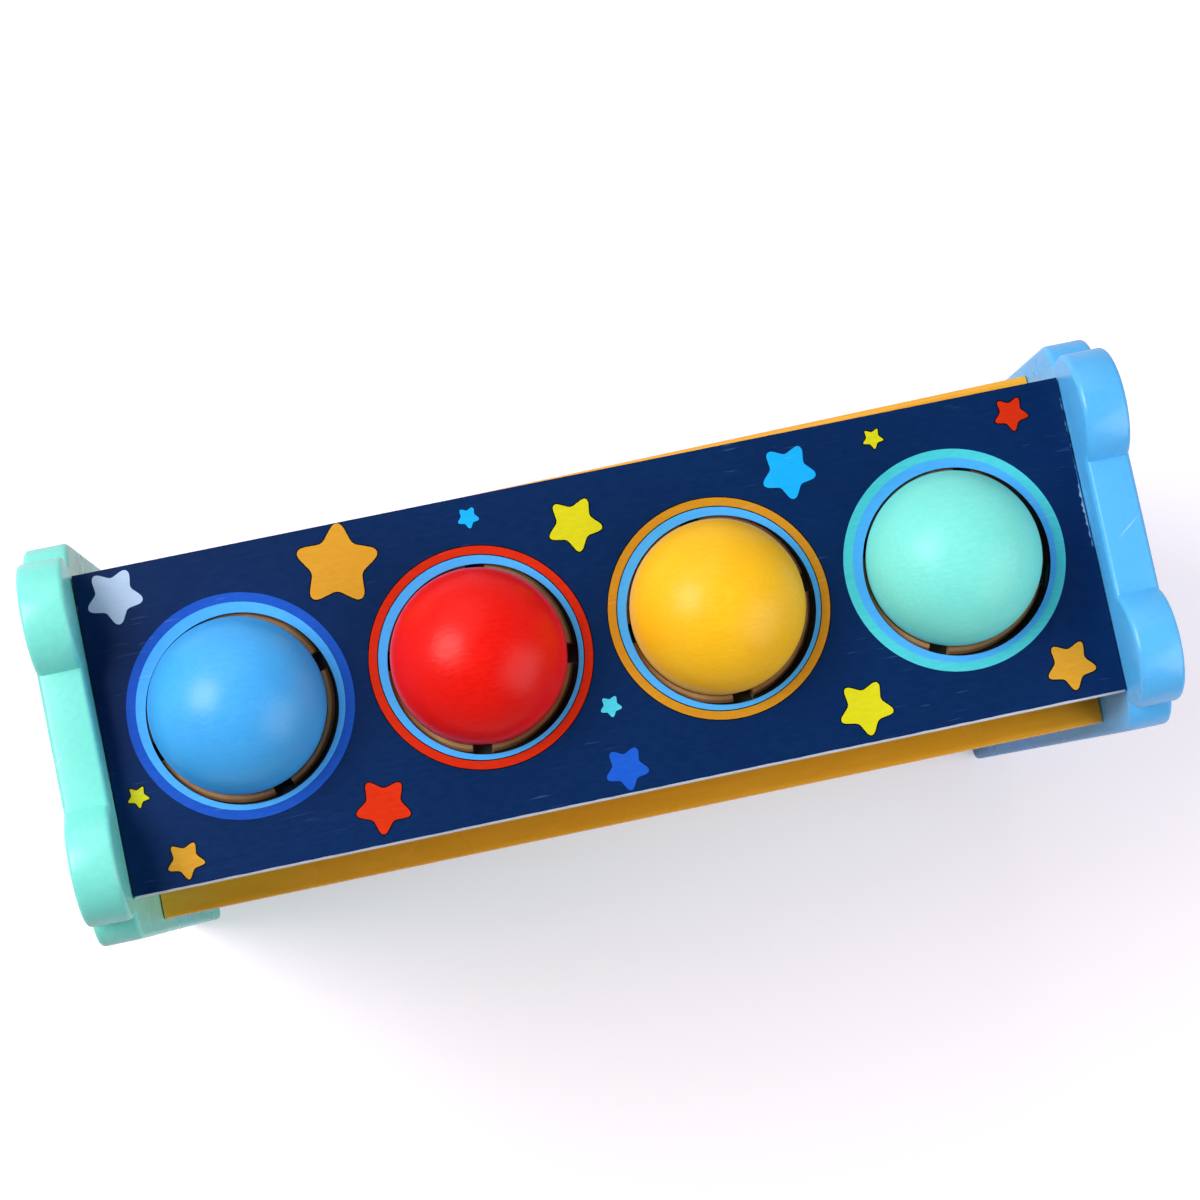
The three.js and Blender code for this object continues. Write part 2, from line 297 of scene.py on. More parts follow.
def printedFilm(name, colour, deep, scuff):
    look = filmLook
    material, tree, shader, place = newMaterial(name, IOR=1.48, Specular_IOR_Level=0.15)
    drift = add(tree, "TexNoise", {"Vector": place, "Scale": perSize(look["drift"]), "Detail": 3})
    lengthwise = add(tree, "Mapping", {"Vector": place, **look["poreLie"]})
    pores = add(tree, "TexNoise", {"Vector": lengthwise, "Scale": perSize(look["pore"]), "Detail": 5})
    slanted = add(tree, "Mapping", {"Vector": place, **look["lineLie"]})
    lines = add(tree, "TexNoise", {"Vector": slanted, "Scale": perSize(look["line"]), "Detail": 1})
    patches = add(tree, "TexNoise", {"Vector": place, "Scale": perSize(look["patch"]), "Detail": 2})
    thin = add(tree, "MapRange", {"Value": lines, **look["thinLine"]})
    where = add(tree, "MapRange", {"Value": patches, **look["scuffed"]})
    scratched = add(tree, "Math", {0: thin, 1: where}, operation="MULTIPLY")
    mottle = add(tree, "Math", {0: drift, 1: pores}, operation="MULTIPLY")
    share = add(tree, "MapRange", {"Value": mottle, **look["mottle"]})
    tone = add(tree, "MixRGB", {"Fac": share, "Color1": deep, "Color2": colour})
    worn = add(tree, "MixRGB", {"Fac": scratched, "Color1": tone, "Color2": scuff})
    gloss = add(tree, "MapRange", {"Value": pores, **look["gloss"]})
    pressed = add(tree, "Bump", {"Height": pores, **look["poreBump"]})
    skin = add(tree, "Bump", {"Height": scratched, "Normal": pressed, **look["lineBump"]}, invert=True)
    wire(tree, shader, worn, gloss, skin)
    return material


# Birch plywood, sanded and left bare: pale veneer with thin darker grain lines on its faces,
# and on its cut edges the plies as alternate light and dark bands

plywoodLook = {
    "grain": 2.2, "fibre": 0.7, "ply": 1.4,  # sizes in mm
    "grainLie": {"Scale": (0.05, 1, 1)},
    "veneer": {"Color1": "#c79a62", "Color2": "#ecd3a4"},
    "plies": {"Color1": "#a87443", "Color2": "#dfbd88"},
    "plyLine": {"From Min": -0.35, "From Max": 0.35},
    "face": {"From Min": 0.6, "From Max": 0.8},  # how upright the normal of a veneer's face is
    "gloss": {"To Min": 0.52, "To Max": 0.68},
    "fibreBump": {"Strength": 0.4, "Distance": 0.06 * mm},
}


def birchPlywood(name, slope=0.0):
    look = plywoodLook
    material, tree, shader, place = newMaterial(name, IOR=1.45)
    lengthwise = add(tree, "Mapping", {"Vector": place, **look["grainLie"]})
    grain = add(tree, "TexNoise", {"Vector": lengthwise, "Scale": perSize(look["grain"]), "Detail": 6})
    veneer = add(tree, "MixRGB", {"Fac": grain, **look["veneer"]})
    height = add(tree, "VectorMath", {0: place, 1: (-slope, 0, 1)}, operation="DOT_PRODUCT")
    turnsPerRise = math.pi / (look["ply"] * mm)
    turns = add(tree, "Math", {0: height.outputs["Value"], 1: turnsPerRise}, operation="MULTIPLY")
    bands = add(tree, "Math", {0: turns}, operation="SINE")
    layered = add(tree, "MapRange", {"Value": bands, **look["plyLine"]})
    plies = add(tree, "MixRGB", {"Fac": layered, **look["plies"]})
    facing = add(tree, "NewGeometry").outputs["Normal"]
    upright = add(tree, "SeparateXYZ", {0: facing}).outputs["Z"]
    flat = add(tree, "Math", {0: upright}, operation="ABSOLUTE")
    isFace = add(tree, "MapRange", {"Value": flat, **look["face"]})
    tone = add(tree, "MixRGB", {"Fac": isFace, "Color1": plies, "Color2": veneer})
    fibres = add(tree, "TexNoise", {"Vector": place, "Scale": perSize(look["fibre"]), "Detail": 3})
    gloss = add(tree, "MapRange", {"Value": grain, **look["gloss"]})
    skin = add(tree, "Bump", {"Height": fibres, **look["fibreBump"]})
    wire(tree, shader, tone, gloss, skin)
    return material


# Moulded rubber: matt, slightly dusty, with a fine spark-eroded skin

rubberLook = {
    "dust": 6, "pit": 0.5,  # sizes in mm
    "gloss": {"To Min": 0.5, "To Max": 0.7},
    "pitBump": {"Strength": 0.4, "Distance": 0.04 * mm},
}


def mouldedRubber(name, colour, deep):
    look = rubberLook
    material, tree, shader, place = newMaterial(name, IOR=1.52)
    dust = add(tree, "TexNoise", {"Vector": place, "Scale": perSize(look["dust"]), "Detail": 4})
    pits = add(tree, "TexNoise", {"Vector": place, "Scale": perSize(look["pit"]), "Detail": 2})
    tone = add(tree, "MixRGB", {"Fac": dust, "Color1": deep, "Color2": colour})
    gloss = add(tree, "MapRange", {"Value": dust, **look["gloss"]})
    skin = add(tree, "Bump", {"Height": pits, **look["pitBump"]})
    wire(tree, shader, tone, gloss, skin)
    return material


# Zinc-plated steel: bright grey metal, finely tumbled, with duller patches

steelLook = {
    "patch": 2.5, "tumble": 0.25,  # sizes in mm
    "tones": {"Color1": "#a9adb2", "Color2": "#d3d6d9"},
    "gloss": {"To Min": 0.22, "To Max": 0.42},
    "tumbleBump": {"Strength": 0.25, "Distance": 0.02 * mm},
}


def zincSteel(name):
    look = steelLook
    material, tree, shader, place = newMaterial(name, Metallic=1.0)
    patches = add(tree, "TexNoise", {"Vector": place, "Scale": perSize(look["patch"]), "Detail": 4})
    tumbled = add(tree, "TexNoise", {"Vector": place, "Scale": perSize(look["tumble"]), "Detail": 2})
    tone = add(tree, "MixRGB", {"Fac": patches, **look["tones"]})
    gloss = add(tree, "MapRange", {"Value": patches, **look["gloss"]})
    skin = add(tree, "Bump", {"Height": tumbled, **look["tumbleBump"]})
    wire(tree, shader, tone, gloss, skin)
    return material


navyFilm = printedFilm("navy printed film", "#062b5e", "#042452", "#5f7fae")
# dark ink for the printed outlines, also painted on the deck's hole walls as painted shade
outlineInkAndHoleShade = printedFilm("dark outline ink and painted hole shade", "#05080f", "#03060c", "#2a3a52")
paleRingInk = printedFilm("light blue printing ink", "#55b4fb", "#48a8f4", "#bfe2fb")
plainPly = birchPlywood("bare birch plywood")
whiteGround = printedFilm("white primer on plywood", "#dfe7f3", "#c9d4e6", "#ffffff")
tanRubber = mouldedRubber("tan moulded rubber", "#c79b6d", "#8a5c34")
# near-black rubber, painted on the retaining rings' flange and slot floors as painted shade
paintedShadeRubber = mouldedRubber("rubber painted dark as shade", "#1c1815", "#0e0c0a")
screwSteel = zincSteel("zinc-plated steel")
inkScuff = "#f0e6d8"  # where the ink of a ring or star is scratched
print("materials mixed")


# Balls, turned on a lathe, with a small flat below where they were parted from the rod

ballLook = {
    "segments": 96,
    "rings": 64,
    "flatDepth": 0.10,  # mm
    "waviness": 0.06,  # mm, inwards only
    "waveLength": 14,  # mm
    "axis": {"blue": (0.5, 0.35, -0.8), "red": (0.3, -0.6, -0.75), "yellow": (-0.55, -0.3, -0.8),
             "mint": (0.4, 0.5, -0.75)},
    "colours": {"blue": ("#4ab0f8", "#41a6f0"), "red": ("#f0190f", "#e4120a"),
                "yellow": ("#fdc424", "#f7b81b"), "mint": ("#84ece1", "#7ae3d8")},
    "sheen": {"blue": 0.34, "red": 0.19, "yellow": 0.21, "mint": 0.25},
}


def turnedBall(name):
    low, high, centre = nodeBox("ball_" + name)
    radius = (high.z - low.z) / 2
    axis = Vector(ballLook["axis"][name]).normalized()
    standAlone()
    bpy.ops.mesh.primitive_uv_sphere_add(segments=ballLook["segments"], ring_count=ballLook["rings"],
                                         radius=radius, location=centre,
                                         rotation=axis.to_track_quat("Z", "Y").to_euler())
    ball = named("turned_ball_" + name)
    pick(ball, "VERT", everything)
    bpy.ops.mesh.bisect(plane_co=centre + axis * (radius - ballLook["flatDepth"] * mm), plane_no=axis,
                        use_fill=True, clear_outer=True)
    tidyMesh(ball)
    waves = bpy.data.textures.new("turning waves " + name, "CLOUDS")
    waves.noise_scale = ballLook["waveLength"] * mm
    finishWith(ball, "DISPLACE", texture=waves, texture_coords="LOCAL", mid_level=0.0,
               strength=-ballLook["waviness"] * mm)
    colour, deep = ballLook["colours"][name]
    lacquer = ballLacquer(name + " lacquer on beech", colour, deep, ballLook["sheen"][name])
    fit(ball, [lacquer], name + "_ball", ["ball_" + name], smooth=60)


for name in ballNames:
    turnedBall(name)
print("balls turned")


# Deck: plywood core with a white ground and a printed film on top, and its hole walls painted dark as shade

deckBuild = {
    "film": 0.25,  # mm, as are the other sizes
    "edgeRound": 0.8, "edgeSteps": 5,
    "groundRise": 0.2,  # of a normal from which the rounded edge has the white ground
    "holeRadius": 24.3, "holeSides": 128,
    "recessRadius": 28.3,
    "recessTop": 1.7,  # below the deck's upper face
    "ballShift": (-1.0, 0.8),  # ball's middle from its hole's middle
    "rimCuts": 120,
    "frontBare": 0.55, "frontRag": 0.12,  # pale strip of core along the front edge
    "otherBare": 0.15,
    "peelFrom": -3, "peelTo": 38, "peelDeepest": 8, "peelSpread": 9,  # along the right edge
    "peelDepth": 0.55, "peelShare": (0.7, 1), "peelRag": (-0.2, 0.45),
    "seed": 7,
}
deckLow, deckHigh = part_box("deck")


def holeMiddle(name):
    _, _, middle = nodeBox("ball_" + name)
    shiftX, shiftY = deckBuild["ballShift"]
    return Vector((middle.x - shiftX * mm, middle.y - shiftY * mm, deckHigh.z))


holes = {name: holeMiddle(name) for name in ballNames}


def drill(radius, bottom, top, middle):  # a cylinder for cutting
    standAlone()
    bpy.ops.mesh.primitive_cylinder_add(vertices=deckBuild["holeSides"], radius=radius * mm,
                                        depth=top - bottom,
                                        location=(middle.x, middle.y, (top + bottom) / 2))
    return named("drill")


def deckCore():
    top = deckHigh.z - deckBuild["film"] * mm
    recessTop = deckHigh.z - deckBuild["recessTop"] * mm
    edge = deckBuild["edgeRound"] * mm
    size = deckHigh - deckLow
    standAlone()
    bpy.ops.mesh.primitive_cube_add(size=1, location=(0, 0, (deckLow.z + top) / 2),
                                    scale=(size.x, size.y, top - deckLow.z))
    core = named("deck_core")
    pick(core, "EDGE", lambda a, b: min(a.z, b.z) > top - hair)
    roundOff(edge, deckBuild["edgeSteps"])
    for name, hole in holes.items():
        _, _, ballMiddle = nodeBox("ball_" + name)
        cutAway(core, drill(deckBuild["holeRadius"], deckLow.z - mm, deckHigh.z + mm, hole),
                drill(deckBuild["recessRadius"], deckLow.z - mm, recessTop, ballMiddle))
    tidyMesh(core)
    fromHole = lambda centre: min((centre.xy - hole.xy).length for hole in holes.values())
    inHole = lambda centre: fromHole(centre) < deckBuild["recessRadius"] * mm
    paint(core, 1, lambda centre, normal: normal.z > deckBuild["groundRise"] and centre.z > top - edge)
    # painted shade: the walls of the holes take the dark ink in place of the shade that falls down into them
    paint(core, 2, lambda centre, normal: abs(normal.z) < partly and inHole(centre))
    fit(core, [plainPly, whiteGround, outlineInkAndHoleShade], nodes=["deck"])


def wornEdge(point, chance):  # how far the film has drawn back from the deck's edge, in mm
    if abs(point.y - deckLow.y) < hair:
        return Vector((0, deckBuild["frontBare"] + chance.uniform(0, deckBuild["frontRag"]), 0))
    if abs(point.x - deckHigh.x) > hair:  # only the back left corner is left
        return Vector((deckBuild["otherBare"], 0, 0))
    y = point.y / mm
    inPeel = deckBuild["peelFrom"] < y < deckBuild["peelTo"]
    near = math.exp(-((y - deckBuild["peelDeepest"]) / deckBuild["peelSpread"]) ** 2)
    ragged = max(0, chance.uniform(*deckBuild["peelRag"]))
    ragged += deckBuild["peelDepth"] * near * chance.uniform(*deckBuild["peelShare"])
    return Vector((-deckBuild["otherBare"] - (ragged if inPeel else 0), 0, 0))


def deckFilm():
    size = deckHigh - deckLow
    standAlone()
    bpy.ops.mesh.primitive_plane_add(size=1, location=(0, 0, deckHigh.z))
    film = named("deck_printed_film")
    pick(film, "VERT", everything)
    bpy.ops.transform.resize(value=(size.x, size.y, 1))
    isFront = lambda a, b: max(a.y, b.y) < deckLow.y + mm
    isRight = lambda a, b: min(a.x, b.x) > deckHigh.x - mm
    for side in (isFront, isRight):
        pick(film, "EDGE", side)
        bpy.ops.mesh.subdivide(number_cuts=deckBuild["rimCuts"], ngon=True)
    standAlone(film)
    chance = random.Random(deckBuild["seed"])
    for vert in film.data.vertices:
        vert.co += wornEdge(vert.co, chance) * mm
    finishWith(film, "SOLIDIFY", thickness=deckBuild["film"] * mm, offset=-1)
    for hole in holes.values():
        cutAway(film, drill(deckBuild["holeRadius"], deckLow.z, deckHigh.z + mm, hole))
    tidyMesh(film)
    fit(film, [navyFilm], nodes=["deck"])


deckCore()
deckFilm()
print("deck cut and laminated")


# Printed rings round the holes: a coloured band and a light blue band to the hole's edge, and on
# some of them a dark line on both sides of the coloured band

ringPrint = {
    "outer": 28.75, "inner": 26.35, "line": 0.28,  # mm
    "ink": 0.04,
    "offset": {"blue": (-0.3, 0.75), "red": (-0.45, 0.5), "yellow": (-0.45, 0.5), "mint": (-0.45, 0.5)},
    "colours": {"blue": ("#1e5ac8", "#1a50b6"), "red": ("#da2f10", "#ca280c"),
                "yellow": ("#d39326", "#c4861e"), "mint": ("#55d3df", "#45c3d0")},
    "outlined": ("red", "yellow"),
}


def printedRing(name):
    size = inMetres(ringPrint)
    outer, inner, line = size["outer"], size["inner"], size["line"]
    offsetX, offsetY = (offset * mm for offset in ringPrint["offset"][name])
    middle = holes[name] + Vector((offsetX, offsetY, size["ink"]))
    standAlone()
    bpy.ops.mesh.primitive_circle_add(vertices=deckBuild["holeSides"], radius=outer, location=middle)
    ring = named("printed_ring_" + name)
    pick(ring, "VERT", everything)
    radii = (outer - line, inner, inner - line, deckBuild["holeRadius"] * mm)
    growLoop(outer, [(radius, 0) for radius in radii], middle)
    bpy.ops.transform.translate(value=(-offsetX, -offsetY, 0))  # the last loop goes round the hole
    faceUp(ring)
    finishWith(ring, "SOLIDIFY", thickness=size["ink"], offset=-1)
    colour, deep = ringPrint["colours"][name]
    ink = printedFilm(name + " printing ink", colour, deep, inkScuff)
    fromMiddle = lambda centre: (centre.xy - middle.xy).length
    outlined = name in ringPrint["outlined"]
    paint(ring, 1 if outlined else 0, lambda centre, normal: fromMiddle(centre) > outer - line)
    paint(ring, 1 if outlined else 2, lambda centre, normal: inner - line < fromMiddle(centre) < inner)
    paint(ring, 2, lambda centre, normal: fromMiddle(centre) < inner - line)
    fit(ring, [ink, outlineInkAndHoleShade, paleRingInk])


for name in ballNames:
    printedRing(name)
print("rings printed")


# Printed stars, fat and round-tipped

starInks = {
    "pale": ("#c6d8f2", "#b6cae8"), "ochre": ("#e2a433", "#d39628"), "sky": ("#1eb6fe", "#16a9f4"),
    "yellow": ("#ded81e", "#d0ca1a"), "red": ("#de330f", "#cf2c0c"), "cyan": ("#52d6ee", "#46c8e0"),
    "blue": ("#1f60d6", "#1a55c4"),
}
starShape = {
    "points": 5,
    "reach": 0.618,  # from the middle to a tip before it is rounded, as a share of the width
    "waist": 0.52, "waistRound": 0.08, "tipRound": 0.334,  # shares of that reach
    "waistSteps": 4, "tipSteps": 6,
    "outline": 0.3, "ink": 0.04,  # mm
    "outlined": ("ochre", "yellow", "red"),
}
stars = [  # ink, along the deck, across it, width in mm, turn in degrees (0 points to the front)
    ("pale", -119.15, 34.3, 14.2, 0),
    ("ochre", -62.5, 30.9, 20.8, 169),
    ("sky", -27.55, 36.1, 5.5, 0),
    ("yellow", -1.3, 29.0, 14.0, 0),
    ("sky", 55.25, 31.3, 14.0, 0),
    ("yellow", 78.5, 35.4, 5.4, 0),
    ("red", 115.0, 34.6, 8.9, 0),
    ("cyan", -1.75, -18.4, 5.5, 0),
    ("blue", -1.0, -34.6, 11.1, 0),
    ("red", -63.1, -31.4, 14.0, -11),
    ("yellow", -122.9, -16.6, 5.5, 0),
    ("ochre", -114.3, -34.6, 9.5, 0),
    ("yellow", 61.95, -32.0, 14.0, 0),
    ("ochre", 116.05, -32.0, 12.8, 0),
]
starMaterials = {ink: printedFilm(ink + " star ink", *tones, inkScuff) for ink, tones in starInks.items()}


def printedStar(number, ink, x, y, width, turn):
    outlined = ink in starShape["outlined"]
    border = 2 * starShape["outline"] if outlined else 0
    reach = starShape["reach"] * (width + border) * mm
    corners = 2 * starShape["points"]
    middle = Vector((x * mm, y * mm, deckHigh.z + starShape["ink"] * mm))
    standAlone()
    bpy.ops.mesh.primitive_circle_add(vertices=corners, radius=reach, fill_type="NGON", location=middle,
                                      rotation=(0, 0, math.radians(180 + turn)))
    star = named(f"printed_star_{number:02d}_{ink}")
    tips = [star.data.vertices[i].co.copy() for i in range(0, corners, 2)]
    isTip = lambda point: min((point - tip).length for tip in tips) < hair
    isWaist = lambda point: not isTip(point)
    pick(star, "VERT", isWaist)
    bpy.ops.transform.resize(value=(starShape["waist"], starShape["waist"], 1), center_override=middle)
    pick(star, "VERT", isWaist)
    roundOff(starShape["waistRound"] * reach, starShape["waistSteps"], "VERTICES")
    pick(star, "VERT", isTip)
    roundOff(starShape["tipRound"] * reach, starShape["tipSteps"], "VERTICES")
    faceUp(star)
    if outlined:
        pick(star, "FACE", everything)
        bpy.ops.mesh.inset(thickness=starShape["outline"] * mm, depth=0)
        standAlone(star)
        for face in star.data.polygons:
            face.material_index = 0 if face.select else 1
    pick(star, "VERT", everything)
    bpy.ops.mesh.bisect(plane_co=(0, deckHigh.y - deckBuild["otherBare"] * mm, 0), plane_no=(0, 1, 0),
                        clear_outer=True)  # no print past the deck's back edge
    finishWith(star, "SOLIDIFY", thickness=starShape["ink"] * mm, offset=-1)
    fit(star, [starMaterials[ink], outlineInkAndHoleShade])


for number, star in enumerate(stars, 1):
    printedStar(number, *star)
print("stars printed")


# End panels: one outline drawn with straight runs and arcs, given its thickness and soft edges

panelShape = {
    "lobeRadius": 15, "lobeRise": 19, "lobeInset": 20.35, "saddleRise": 9.4,  # mm
    "shoulderRadius": 12, "shoulderDrop": 13, "footRound": 4, "edgeRound": 1.4,
    "arcSteps": 20, "edgeSteps": 4,
    "countersink": 0.25, "countersinkSides": 48,  # clearance round a screw head
    "slots": {"left": "mint_panel", "right": "blue_panel"},
}
panelPaint = {  # a scratch has its middle in mm, its turn, and half its length in mm
    "left": satinEnamel("mint satin enamel", "#84ecdf", "#7be4d7", grain="upright",
                        scratch=((-140.2, -5.4, 241.5), 0.83, 3.2)),
    "right": satinEnamel("blue satin enamel", "#5cbcfb", "#55b5f6", grain="upright",
                         scratch=((136.2, -0.8, 241.5), 0.65, 4.4)),
}


def screwNodes(end):
    return [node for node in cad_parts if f"screw_{end}" in node]


def outerFace(end, low, high):
    return high.x if outwards[end] > 0 else low.x


def crossing(a, radiusA, b, radiusB):  # where two circles meet, on the outer side
    apart = b - a
    along = (radiusA ** 2 - radiusB ** 2 + apart.length_squared) / (2 * apart.length)
    aside = math.sqrt(radiusA ** 2 - along ** 2)
    unit = apart.normalized()
    foot = a + unit * along
    return max((foot + Vector((-unit.y, unit.x)) * s * aside for s in (1, -1)), key=lambda p: p.x)


def panelRoute(half):  # from the front foot round to it again, as runs' steps and arcs' middles and turns
    size = inMetres(panelShape)
    deckTop = deckHigh.z
    lobe = Vector((half - size["lobeInset"], deckTop + size["lobeRise"] - size["lobeRadius"]))
    shoulder = Vector((half - size["shoulderRadius"], deckTop - size["shoulderDrop"]))
    foot = Vector((half - size["footRound"], size["footRound"]))
    crease = crossing(lobe, size["lobeRadius"], shoulder, size["shoulderRadius"])
    onShoulder = math.atan2(crease.y - shoulder.y, crease.x - shoulder.x)
    onLobe = math.atan2(crease.y - lobe.y, crease.x - lobe.x)
    saddle = math.pi - math.asin((deckTop + size["saddleRise"] - lobe.y) / size["lobeRadius"])
    saddleY = lobe.x + size["lobeRadius"] * math.cos(saddle)
    mirrored = lambda point: Vector((-point.x, point.y))
    quarter = math.pi / 2
    return [
        (2 * foot.x, 0), (foot, quarter), (0, shoulder.y - foot.y), (shoulder, onShoulder),
        (lobe, saddle - onLobe), (-2 * saddleY, 0), (mirrored(lobe), saddle - onLobe),
        (mirrored(shoulder), onShoulder), (0, foot.y - shoulder.y), (mirrored(foot), quarter),
    ]


def countersink(node, end, outerX):  # a cone for cutting that stands out of the panel by a millimetre
    low, high, middle = nodeBox(node)
    head = (high.z - low.z) / 2 + panelShape["countersink"] * mm
    depth = head + mm
    standAlone()
    bpy.ops.mesh.primitive_cone_add(vertices=panelShape["countersinkSides"], radius1=0, radius2=depth,
                                    depth=depth, rotation=(0, outwards[end] * math.pi / 2, 0),
                                    location=(outerX + outwards[end] * (mm - depth / 2), middle.y, middle.z))
    return named("countersink")


def endPanel(end):
    low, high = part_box(end + "_end_panel")
    frontFoot = -(high.y - panelShape["footRound"] * mm)
    standAlone()
    bpy.ops.mesh.primitive_plane_add(size=mm, location=(low.x, frontFoot, 0))
    panel = named(end + "_panel_board")
    pick(panel, "VERT", everything)
    bpy.ops.mesh.merge(type="CENTER")  # one point to draw from
    bpy.ops.mesh.select_all(action="SELECT")
    for first, second in panelRoute(high.y):
        if isinstance(first, Vector):  # spin turns clockwise for a positive angle
            bpy.ops.mesh.spin(steps=panelShape["arcSteps"], angle=-second,
                              center=(low.x, first.x, first.y), axis=(1, 0, 0))
        else:
            extrude((0, first, second))
    tidyMesh(panel)
    pick(panel, "EDGE", everything)
    bpy.ops.mesh.edge_face_add()
    extrude((high.x - low.x, 0, 0))
    tidyMesh(panel)
    pick(panel, "EDGE", lambda a, b: abs(a.x - b.x) < hair)  # the rims of both faces
    roundOff(panelShape["edgeRound"] * mm, panelShape["edgeSteps"])
    tidyMesh(panel)
    for node in screwNodes(end):
        cutAway(panel, countersink(node, end, outerFace(end, low, high)))
    tidyMesh(panel)
    fit(panel, [panelPaint[end]], nodes=[end + "_end_panel"], smooth=35)


for end in outwards:
    endPanel(end)
print("end panels shaped")


# Ramps: a plywood floor let into two grooved rails

rampBuild = {
    "slope": 0.1061,  # fall per length
    "railRound": 1.6, "railFoot": 0.5, "grooveDepth": 3, "floor": 6, "stand": 22, "fitGap": 0.3,  # mm
    "floorRound": 0.25,
    "railSteps": 5, "footSteps": 3, "floorSteps": 2,
    "paints": {"upper": ("ochre", "#fcb62c", "#f3ab25"), "middle": ("blue", "#5dbcfa", "#57b6f5"),
               "lower": ("mint", "#86ece0", "#7fe6da")},
    "slots": {"upper": "yellow_rail", "middle": "blue_rail", "lower": "mint_rail"},
    "falls": {"upper": 1, "middle": -1, "lower": 1},  # 1 falls to the left
}


def lean(piece, slope):  # lifts one end and lowers the other
    for side in (-1, 1):
        pick(piece, "VERT", lambda point: point.x * side > 0)
        ends = [vert.co.x for vert in piece.data.vertices if vert.co.x * side > 0]
        bpy.ops.transform.translate(value=(0, 0, slope * sum(ends) / len(ends)))


def levelHeight(low, high):  # of a sloping board before it leans
    return high.z - low.z - rampBuild["slope"] * (high.x - low.x)


def levelBoard(name, low, high, middle):
    standAlone()
    bpy.ops.mesh.primitive_cube_add(size=1, location=middle,
                                    scale=(high.x - low.x, high.y - low.y, levelHeight(low, high)))
    return named(name)


def rampRail(level, face, enamel):
    node = f"{level}_{face}_rail"
    size = inMetres(rampBuild)
    low, high, middle = nodeBox(node)
    rail = levelBoard(node + "_board", low, high, middle)
    height = levelHeight(low, high)
    top = middle.z + height / 2
    inner = -1 if face == "back" else 1  # the groove looks towards the other rail
    grooveTop = top - size["stand"] + size["fitGap"]
    grooveBottom = top - size["stand"] - size["floor"] - size["fitGap"]
    for edgeHeight in (grooveTop, grooveBottom):
        pick(rail, "VERT", everything)
        bpy.ops.mesh.bisect(plane_co=(0, 0, edgeHeight), plane_no=(0, 0, 1))
    inGroove = lambda centre, normal: normal.y * inner > squarely and grooveBottom < centre.z < grooveTop
    pick(rail, "FACE", inGroove)
    extrude((0, -inner * size["grooveDepth"], 0))
    isLong = lambda a, b: abs(a.x - b.x) > (high.x - low.x) / 2
    pick(rail, "EDGE", lambda a, b: isLong(a, b) and min(a.z, b.z) > top - hair)
    roundOff(size["railRound"], rampBuild["railSteps"])
    pick(rail, "EDGE", lambda a, b: isLong(a, b) and max(a.z, b.z) < top - height + hair)
    roundOff(size["railFoot"], rampBuild["footSteps"])
    lean(rail, rampBuild["slope"] * rampBuild["falls"][level])
    tidyMesh(rail)
    fit(rail, [enamel], nodes=[node])


def rampFloor(level):
    node = level + "_ramp_floor"
    slope = rampBuild["slope"] * rampBuild["falls"][level]
    low, high, middle = nodeBox(node)
    middle.z -= slope * middle.x  # the lean is about the toy's middle
    board = levelBoard(level + "_ramp_board", low, high, middle)
    pick(board, "EDGE", everything)
    roundOff(rampBuild["floorRound"] * mm, rampBuild["floorSteps"])
    standAlone(board)
    for vert in board.data.vertices:
        vert.co.z += slope * vert.co.x
    tidyMesh(board)
    fit(board, [birchPlywood(level + " ramp birch plywood", slope)], nodes=[node])


for level in rampLevels:
    ink, colour, deep = rampBuild["paints"][level]
    enamel = satinEnamel(f"{ink} satin enamel on {level} rail", colour, deep)
    rampFloor(level)
    for face in ("front", "back"):
        rampRail(level, face, enamel)
print("ramps fitted")


# Retaining rings: a tan lip whose bore follows the ball, on a flange painted dark as shade, slotted in four
# places with the slot floors painted dark as shade too

ringBuild = {
    "fitGap": 0.3, "outer": 28, "slotWidth": 5, "slotReach": 2.6, "slotFloor": 0.6,  # mm
    "lip": 1.1, "fall": 0.9, "drop": 1.6,  # raised lip round the ball, and how it falls to the flange
    "sides": 96, "edgeRound": 0.3, "edgeSteps": 2,
    "sharp": 40,  # degrees from which an edge is rounded
    "turn": {"blue": 18, "red": -9, "yellow": 5, "mint": -20},
}


